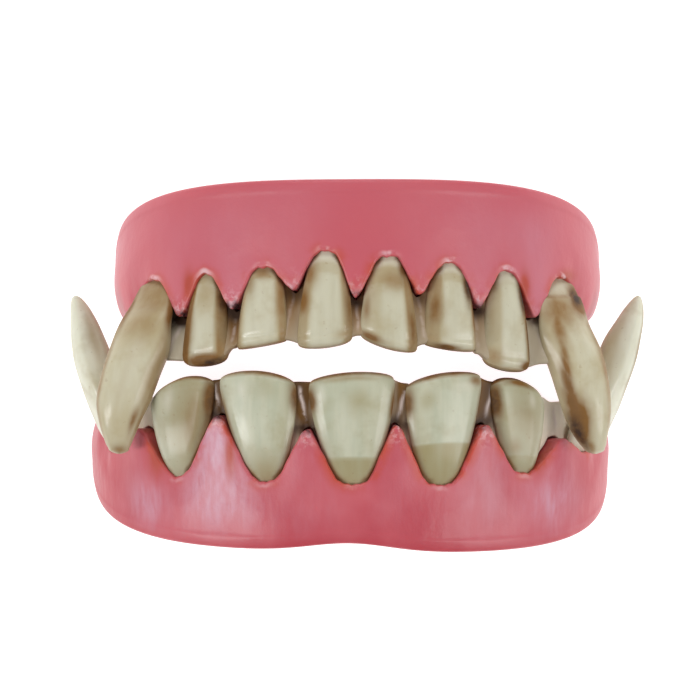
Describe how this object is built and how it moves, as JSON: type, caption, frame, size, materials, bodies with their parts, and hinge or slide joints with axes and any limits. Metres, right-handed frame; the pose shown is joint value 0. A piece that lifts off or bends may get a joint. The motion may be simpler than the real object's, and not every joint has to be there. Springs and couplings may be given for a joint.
{
  "type": "costume false teeth",
  "caption": "Upper and lower costume tooth plates: pink gums with an open channel behind for the wearer's teeth, stained ivory teeth, long upper fangs, outward lower tusks.",
  "frame": {"origin": "middle of the set's footprint, on the surface that the plates lie on", "axes": "+X to the right across the face, +Y from the lower plate to the upper, +Z out of the mouth (up)"},
  "size_m": [0.0706, 0.045, 0.0275],
  "materials": {
    "gum": "glossy pink denture resin",
    "ivory": "glossy ivory resin with brown stains",
    "web": "glossy stained resin"
  },
  "bodies": {
    "root": {"upper_gum": "gum", "upper_tooth_band": "web", "upper_tooth_left_3": "ivory", "upper_tooth_left_2": "ivory", "upper_tooth_left_1": "ivory", "upper_tooth_right_1": "ivory", "upper_tooth_right_2": "ivory", "upper_tooth_right_3": "ivory", "upper_fang_left": "ivory", "upper_fang_right": "ivory", "lower_gum": "gum", "lower_tooth_band": "web", "lower_tooth_left_2": "ivory", "lower_tooth_left_1": "ivory", "lower_tooth_middle": "ivory", "lower_tooth_right_1": "ivory", "lower_tooth_right_2": "ivory", "lower_tusk_left": "ivory", "lower_tusk_right": "ivory"}
  },
  "joints": []
}
